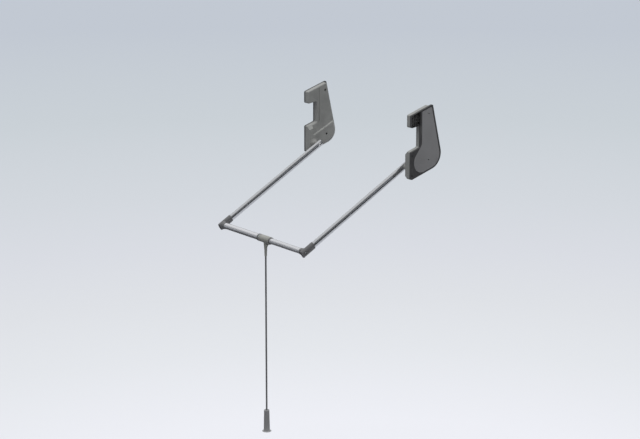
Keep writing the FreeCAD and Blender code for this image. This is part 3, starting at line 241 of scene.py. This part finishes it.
def moulded_plastic(name, colour, grain=900.0, roughness=(0.42, 0.58)):
    """grain: pebbles in a metre. roughness: the smoothest and the roughest spot."""
    finish = Finish(name, colour, roughness[0])
    pebbles = finish.cells(grain)
    fine = finish.noise(scale=grain * FINER, detail=4.0)
    cloudy = finish.noise(scale=14.0)
    stretched = finish.turned(scale=(1.0, 1.0, 0.25))
    scuffs = finish.noise(scale=60.0, detail=6.0, vector=stretched)
    tone = finish.ramp(cloudy, (0.30, shade(colour, 0.86)), (0.72, shade(colour, 1.16, 0.004)))
    dusty = finish.ramp(scuffs, (0.60, 0.0), (0.82, 1.0))
    dust = finish.math("MULTIPLY", dusty, DUST_SHARE)
    finish.colour(finish.mix(dust, tone, opaque(DUST_GREY)))
    finish.roughness(finish.noise(scale=35.0, detail=4.0), *roughness)
    finish.bump(pebbles, PEBBLE_DEPTH, strength=0.35)
    finish.bump(fine, PEBBLE_DEPTH / 2, strength=0.25)
    return finish.material


print("moulded plastic ready, pebbles", round(PEBBLE_DEPTH * 1000, 3), "mm deep")

# %% [markdown]
# ## Satin tube
# The arms and the rod are drawn tube with a satin metallic coat. Drawing leaves very fine lines
# along the tube, and the coat has a slight orange peel. The shader's anisotropy could imitate the
# lines, but it needs tangents. Noise that is stretched along the tube gives them at any angle, so
# the arms only need the pattern turned to their slope.

# %% Satin tube
ARM_SLOPE = math.radians(-30.0)
LINE_LENGTH = 2.0          # the pattern's scale along the tube
LINE_FINENESS = 900.0      # and across it
LINE_DEPTH = 0.00001
PEEL_DEPTH = 0.00003


def satin_tube(name, colour, slope, roughness, metallic):
    """slope: the tube's angle about X, or None for a tube that lies along X."""
    finish = Finish(name, colour, roughness[0], metallic)
    if slope is None:
        lines = finish.turned(scale=(LINE_LENGTH, LINE_FINENESS, LINE_FINENESS))
    else:
        along_arm = (LINE_FINENESS, LINE_LENGTH, LINE_FINENESS)
        lines = finish.turned(scale=along_arm, rotation=(slope, 0.0, 0.0))
    drawn = finish.noise(scale=1.0, vector=lines, roughness=0.6)
    peel = finish.noise(scale=420.0, detail=2.0)
    finish.colour(finish.ramp(drawn, (0.30, shade(colour, 0.93)), (0.70, shade(colour, 1.07))))
    patches = finish.noise(scale=30.0, detail=4.0)
    finish.roughness(finish.mix(0.5, patches, drawn), *roughness)
    finish.bump(drawn, LINE_DEPTH, strength=0.30)
    finish.bump(peel, PEEL_DEPTH, strength=0.18)
    return finish.material


print("satin tube ready, for arms at", round(math.degrees(ARM_SLOPE)), "degrees")

# %% [markdown]
# ## Powder coat
# The pressed wall plate is powder coated. The powder melts into a skin with a clear orange peel
# and tiny specks. A plain grey would look like the plastic beside it, so the peel is broader
# here, the specks are drawn into the colour, and a little metal shows through.

# %% Powder coat
SPECK_SHARE = 0.10
COAT_PEEL_DEPTH = 0.00008
SPECK_DEPTH = 0.00002


def powder_coat(name, colour):
    finish = Finish(name, colour, roughness=0.42, metallic=0.25)
    peel = finish.noise(scale=260.0)
    speckle = finish.noise(scale=1500.0, detail=2.0)
    broad = finish.noise(scale=9.0)
    tone = finish.ramp(broad, (0.30, shade(colour, 0.90)), (0.72, shade(colour, 1.10)))
    specks = finish.ramp(speckle, (0.40, 0.02), (0.62, 0.60))
    finish.colour(finish.mix(SPECK_SHARE, tone, specks))
    finish.roughness(finish.noise(scale=40.0, detail=4.0), low=0.36, high=0.50)
    finish.bump(peel, COAT_PEEL_DEPTH, strength=0.30)
    finish.bump(speckle, SPECK_DEPTH, strength=0.20)
    return finish.material


print("powder coat ready, peel", round(COAT_PEEL_DEPTH * 1000, 3), "mm deep")

# %% [markdown]
# ## Machined steel
# Inside the housings are gears, pins and a spring of oiled wire. They show when a cover is taken
# away, so they get real finishes too. A lathe leaves rings round the axis it turns on. Noise that
# changes fast along that axis and slowly across it draws them, and a cloudy stain dulls them.

# %% Machined steel
LATHE_RINGS = (1600.0, 30.0, 30.0)    # close together along X, the axis of the pivots
COIL_RINGS = (40.0, 40.0, 900.0)      # and along Z, the axis of the springs
CUT_DEPTH = 0.00002


def machined_steel(name, colour, roughness=(0.24, 0.38), rings=LATHE_RINGS):
    finish = Finish(name, colour, roughness[0], metallic=1.0)
    cuts = finish.noise(scale=1.0, vector=finish.turned(scale=rings), roughness=0.6)
    stain = finish.noise(scale=70.0, detail=5.0)
    stained = finish.ramp(stain, (0.35, 0.0), (0.80, 0.6))
    finish.colour(finish.mix(stained, opaque(colour), opaque(shade(colour, 0.72))))
    finish.roughness(finish.mix(0.5, cuts, stain), *roughness)
    finish.bump(cuts, CUT_DEPTH, strength=0.4)
    return finish.material


print("machined steel ready, cuts", round(CUT_DEPTH * 1000, 3), "mm deep")

# %% [markdown]
# ## Nylon and rubber
# The bearings are of nylon, which lets a little light in and looks milky. A very short subsurface
# radius gives that without costing much. The stop pads are of rubber: nearly black, dull, and
# dusty in patches, so one noise drives both the dust and the dullness.

# %% Nylon and rubber
MILK = {"Subsurface_Weight": 0.12, "Subsurface_Scale": 0.002}
NYLON_GRAIN_DEPTH = 0.00004
RUBBER_GRAIN_DEPTH = 0.00006


def nylon(name, colour):
    finish = Finish(name, colour, roughness=0.42, **MILK)
    cloudy = finish.noise(scale=45.0, detail=4.0)
    finish.colour(finish.ramp(cloudy, (0.30, shade(colour, 0.88)), (0.70, colour)))
    finish.roughness(finish.noise(scale=160.0), low=0.36, high=0.52)
    finish.bump(finish.noise(scale=700.0), NYLON_GRAIN_DEPTH, strength=0.3)
    return finish.material


def rubber(name, colour):
    finish = Finish(name, colour, roughness=0.75, Specular_IOR_Level=0.35)
    dust = finish.noise(scale=120.0, detail=6.0)
    finish.colour(finish.ramp(dust, (0.35, colour), (0.85, shade(colour, 2.2))))
    finish.roughness(dust, low=0.68, high=0.88)
    finish.bump(finish.noise(scale=1200.0, detail=4.0), RUBBER_GRAIN_DEPTH, strength=0.4)
    return finish.material


print("nylon and rubber ready")

# %% [markdown]
# ## One finish for each material slot
# The record gives each piece a material slot, and pieces made of the same stuff share one. We
# could make a material for each piece, but then the left and the right side would drift apart.
# So we make one finish per slot, named by the slot, and look it up for each piece.

# %% The finishes
finishes = {
    "plate_steel": powder_coat("plate_powder_coat", (0.305, 0.305, 0.312)),
    "shell_black": moulded_plastic("shell_black_plastic", (0.046, 0.046, 0.048),
                                   roughness=(0.50, 0.66)),
    "cover_grey": moulded_plastic("cover_grey_plastic", (0.290, 0.298, 0.290)),
    "screw_black": machined_steel("screw_black_oxide", (0.045, 0.045, 0.048)),
    "bright_steel": machined_steel("zinc_plate", (0.62, 0.62, 0.63)),
    "nylon_white": nylon("natural_nylon", (0.74, 0.72, 0.66)),
    "nylon_grey": nylon("grey_nylon", (0.36, 0.36, 0.37)),
    "rubber_black": rubber("stop_rubber", (0.022, 0.022, 0.022)),
    "gear_steel": machined_steel("gear_steel", (0.40, 0.40, 0.41)),
    "spring_steel": machined_steel("oiled_spring_wire", (0.20, 0.20, 0.21),
                                   roughness=(0.18, 0.34), rings=COIL_RINGS),
    "hub_grey": moulded_plastic("hub_grey_plastic", (0.260, 0.265, 0.258)),
    "arm_grey": satin_tube("arm_satin_grey", (0.50, 0.51, 0.53), ARM_SLOPE,
                           roughness=(0.13, 0.19), metallic=0.90),
    "elbow_grey": moulded_plastic("elbow_grey_plastic", (0.145, 0.146, 0.151),
                                  roughness=(0.22, 0.34)),
    "rod_silver": satin_tube("rod_satin_silver", (0.66, 0.67, 0.70), None,
                             roughness=(0.22, 0.30), metallic=0.60),
    "rod_satin": satin_tube("inner_rod_satin", (0.64, 0.65, 0.68), None,
                            roughness=(0.22, 0.30), metallic=0.60),
    "bracket_grey": moulded_plastic("bracket_grey_plastic", (0.290, 0.294, 0.276)),
    "pull_rod_grey": moulded_plastic("pull_rod_coat", (0.120, 0.120, 0.126), grain=1400.0,
                                     roughness=(0.30, 0.42)),
    "grip_grey": moulded_plastic("grip_grey_plastic", (0.300, 0.303, 0.312)),
}
print("finishes:", len(finishes))

# %% [markdown]
# ## The finishes go on
# The frame's pieces come with plain colours. Their meshes stay as they are, and only the material
# in each slot is exchanged, so nothing is left with a plain colour.

# %% Put the finishes on the frame's pieces
slot_of = {entry["node"]: entry["material_slot"] for entry in frame["record"]["subparts"]}
for node, slot_name in slot_of.items():
    piece = nodes[node]
    if not piece.material_slots:
        piece.data.materials.append(finishes[slot_name])
    for slot in piece.material_slots:
        slot.material = finishes[slot_name]
print("painted pieces:", len(slot_of))

# %% [markdown]
# ## From a bmesh to an object
# A bmesh is a workbench. Operators shape it there, and nothing shows until it is written to a
# mesh that an object in the scene holds. The soft edged copies, the floor and the dark cards all
# need that, so it is one helper.

# %% A helper that makes an object of a bmesh
def as_object(shape, name):
    data = bpy.data.meshes.new(name)
    shape.to_mesh(data)
    shape.free()
    made = bpy.data.objects.new(name, data)
    bpy.context.scene.collection.objects.link(made)
    return made


print("object helper ready")

# %% [markdown]
# ## Softer edges
# The frame's pieces meet at perfectly sharp edges, which no mould or press makes. A real edge is
# round by a few tenths of a millimetre, and that small round catches a thin line of light. The
# rounds could be drawn in the frame itself, but they would make its solids heavy. We copy a
# piece, merge its doubled corners, and dissolve its triangles back into whole flat faces. A
# narrow bevel then finishes it. The copy stands for the frame's piece and moves with its body.

# %% A copy of a piece with soft edges
MERGE_WITHIN = 0.00001
FLAT_WITHIN = math.radians(0.6)
SHARP_ABOVE = math.radians(32.0)
EDGE_SEGMENTS = 2


def softened(node, width):
    shape = bmesh.new()
    shape.from_mesh(nodes[node].data)
    bmesh.ops.remove_doubles(shape, verts=shape.verts, dist=MERGE_WITHIN)
    bmesh.ops.dissolve_limit(shape, angle_limit=FLAT_WITHIN, verts=shape.verts, edges=shape.edges)
    bmesh.ops.recalc_face_normals(shape, faces=shape.faces)
    open_edges = sum(not edge.is_manifold for edge in shape.edges)
    piece = as_object(shape, node + "_soft")
    piece.data.shade_smooth()
    piece.data.set_sharp_from_angle(angle=SHARP_ABOVE)
    piece.data.materials.append(finishes[slot_of[node]])
    edge = piece.modifiers.new("moulded_edge", "BEVEL")
    edge.width = width
    edge.segments = EDGE_SEGMENTS
    edge.limit_method = "ANGLE"
    edge.angle_limit = SHARP_ABOVE
    edge.harden_normals = True
    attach(piece, nodes[node]["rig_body"])
    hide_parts(node)
    print(piece.name, "faces:", len(piece.data.polygons), "open edges:", open_edges)


print("edges above", round(math.degrees(SHARP_ABOVE)), "degrees will be rounded")

# %% [markdown]
# ## The soft pieces of each side
# The thick mouldings, which are the shell, the cover and the elbow, have the broadest rounds. The
# plate is pressed from thin sheet, so its edge is tighter. Both sides share one list of widths.

# %% Soften the pieces of each side
EDGE_WIDTHS = {
    "back_shell": 0.0006,
    "inner_cover": 0.0007,
    "wall_plate": 0.0003,
    "arm_hub": 0.0004,
    "corner_elbow": 0.0006,
    "arm_end_plug": 0.0004,
}
for side in ("left_", "right_"):
    for kind, width in EDGE_WIDTHS.items():
        softened(side + kind, width)

# %% [markdown]
# ## The soft pieces of the pull handle
# The bracket, its rings and the grip are small, with thin walls, so their rounds are narrow. A
# broader bevel would eat the walls and the flutes of the grip.

# %% Soften the pieces around the pull handle
HANDLE_EDGE_WIDTH = 0.0003
for node in ("stop_ring", "rod_end_collar", "bracket_front", "bracket_rear", "grip", "grip_foot"):
    softened(node, HANDLE_EDGE_WIDTH)

# %% [markdown]
# ## The studio floor
# A very wide floor fills the whole view, because the camera looks down on it. A curved paper
# sweep would do the same, but from behind it would stand in the way. A round floor looks the
# same from every side, and the lift hangs above its middle.

# %% Floor
FLOOR_Z = -1.9
FLOOR_RADIUS = 90.0
FLOOR_SIDES = 96
shape = bmesh.new()
bmesh.ops.create_circle(shape, cap_ends=True, segments=FLOOR_SIDES, radius=FLOOR_RADIUS)
bmesh.ops.translate(shape, verts=shape.verts, vec=(MID_SPAN.x, 0.0, FLOOR_Z))
floor = as_object(shape, "studio_floor")
print("floor radius", FLOOR_RADIUS, "m at z", FLOOR_Z)

# %% [markdown]
# ## The floor's paint
# The floor's paint is palest under the lift and turns a soft blue grey with distance, which a ramp
# along the distance from its middle gives: a painted pool of light. A pale floor would throw so
# much light back up that the undersides lose their shape. Light Path tells us what a ray is for:
# rays from the camera, from reflections and through glass see the pale paint, and only soft
# bounced light sees a darker grey.

# %% Floor paint
PAINT_REACH = 20.0                        # metres from the middle to the end of the ramp
FLOOR_FOR_SOFT_LIGHT = (0.14, 0.14, 0.15)
# A painted pool of light: the paint is palest under the lift and darker with distance.
FLOOR_LIGHT_POOL_STOPS = (
    (0.10, (0.755, 0.765, 0.812)),
    (0.17, (0.688, 0.707, 0.740)),
    (0.23, (0.650, 0.668, 0.702)),
    (0.30, (0.615, 0.634, 0.680)),
    (0.39, (0.576, 0.605, 0.645)),
    (0.57, (0.520, 0.560, 0.598)),
    (0.90, (0.476, 0.514, 0.573)),
)
PLAIN_FLOOR = (0.8, 0.8, 0.8)
paint = Finish("studio_floor_paint", PLAIN_FLOOR, roughness=0.9, Specular_IOR_Level=0.0)
to_middle = {"Vector": paint.place, "Location": (-MID_SPAN.x, 0.0, -FLOOR_Z)}
middle = paint.add("ShaderNodeMapping", to_middle).outputs[0]
reach = paint.add("ShaderNodeVectorMath", {0: middle}, operation="LENGTH").outputs["Value"]
# The painted pool of light, read off the ramp by the distance from the floor's middle.
pale = paint.ramp(paint.math("DIVIDE", reach, PAINT_REACH), *FLOOR_LIGHT_POOL_STOPS)
path = paint.add("ShaderNodeLightPath").outputs
seen = paint.math("MAXIMUM", path["Is Camera Ray"], path["Is Glossy Ray"])
seen = paint.math("MAXIMUM", seen, path["Is Transmission Ray"])
paint.colour(paint.mix(seen, opaque(FLOOR_FOR_SOFT_LIGHT), pale))
floor.data.materials.append(paint.material)
print("floor paint stops:", len(FLOOR_LIGHT_POOL_STOPS))

# %% [markdown]
# ## Light from a big soft sky
# The sky is bright overhead and dim near the horizon, like a large softbox above a dark room.
# Smooth metal shows that dim band as the dark line that makes a tube look round. Area lamps
# could do this, but each leaves its own square in the metal. Seen from low down, the dim band
# would stand above the floor as a dark wall, so the camera alone sees a pale blue grey there,
# like the far floor's. Reflections keep the real sky, for the sake of the line.

# %% Sky
SKY_STOPS = ((0.00, 0.10), (0.18, 0.16), (0.34, 0.60), (0.48, 1.00))    # how high, how bright
SKY_STRENGTH = 0.95
HORIZON = (0.533, 0.578, 0.645)
world = bpy.data.worlds.new("studio_sky")
world.use_nodes = True
bpy.context.scene.world = world
sky = Network(world.node_tree)
direction = sky.add("ShaderNodeTexCoord").outputs["Generated"]
height = sky.add("ShaderNodeSeparateXYZ", {0: direction}).outputs["Z"]
for_camera = sky.add("ShaderNodeLightPath").outputs["Is Camera Ray"]
sky_colour = sky.mix(for_camera, sky.ramp(height, *SKY_STOPS), opaque(HORIZON))
background = sky.tree.nodes["Background"]
background.inputs["Strength"].default_value = SKY_STRENGTH
sky.tree.links.new(sky_colour, background.inputs["Color"])
print("sky bands:", len(SKY_STOPS))

# %% [markdown]
# ## One wide sun
# The sky alone gives no clear light side. A sun as wide as a big lamp stands almost overhead,
# a little to the front right, and its shadows have no hard edge. Its own bright spot would
# glare along the arms, so reflections don't see it.

# %% Key light
KEY_FROM = Vector((0.22, -0.10, 1.0))
KEY_ENERGY = 0.9
KEY_WIDTH = math.radians(35.0)
key_data = bpy.data.lights.new("key_light", "SUN")
key_data.energy = KEY_ENERGY
key_data.angle = KEY_WIDTH
key = bpy.data.objects.new("key_light", key_data)
bpy.context.scene.collection.objects.link(key)
key.rotation_euler = KEY_FROM.to_track_quat("Z", "Y").to_euler()
key.visible_glossy = False
print("key light from", [round(v, 2) for v in KEY_FROM.normalized()])

# %% [markdown]
# ## Dark cards for the tubes
# Metal in an empty pale studio has no outline, because it shows only the pale studio. The usual
# cure is to stand black cards beside it, out of view, whose reflections draw a dark line along
# each tube. A line painted on the tube would be wrong as soon as an arm moves. Only reflections
# see our cards, so they throw no shadow and darken nothing else.

# %% A card of black felt
UPRIGHT = Matrix.Rotation(math.radians(90.0), 3, "X")
FELT_BLACK = (0.015, 0.015, 0.016)
felt = Finish("black_felt", FELT_BLACK, roughness=0.95, Specular_IOR_Level=0.0)
fluff = felt.noise(scale=300.0, detail=4.0)
felt.colour(felt.ramp(fluff, (0.3, 0.010), (0.7, 0.022)))


def dark_card(name, centre, turn, width, height):
    card = bmesh.new()
    bmesh.ops.create_grid(card, x_segments=1, y_segments=1, size=0.5)
    bmesh.ops.scale(card, verts=card.verts, vec=(width, height, 1.0))
    facing = Matrix.Rotation(math.radians(turn), 3, "Z")
    bmesh.ops.rotate(card, verts=card.verts, matrix=UPRIGHT)
    bmesh.ops.rotate(card, verts=card.verts, matrix=facing)
    bmesh.ops.translate(card, verts=card.verts, vec=centre)
    piece = as_object(card, name)
    piece.data.materials.append(felt.material)
    piece.visible_camera = False
    piece.visible_diffuse = False
    piece.visible_shadow = False
    print(name, width, "m wide and", height, "m high")


print("felt and card helper ready")

# %% [markdown]
# ## Where the cards stand
# The right card stands far behind on the right and faces the lift, and the arms show it. The left
# card is for the hanging rod. It stands beyond the left wall, so near and so low that the rod
# shows felt and not the floor under it.

# %% Two dark cards
dark_card("right_dark_card", centre=(2.99, 1.80, -0.90), turn=128.0, width=3.2, height=0.95)
dark_card("left_dark_card", centre=(-0.90, -0.55, -1.13), turn=90.0, width=2.7, height=1.16)

# %% [markdown]
# ## The last settings
# The Standard view shows each colour about as we wrote it, where the default one would soften
# it.

bpy.context.scene.view_settings.view_transform = "Standard"
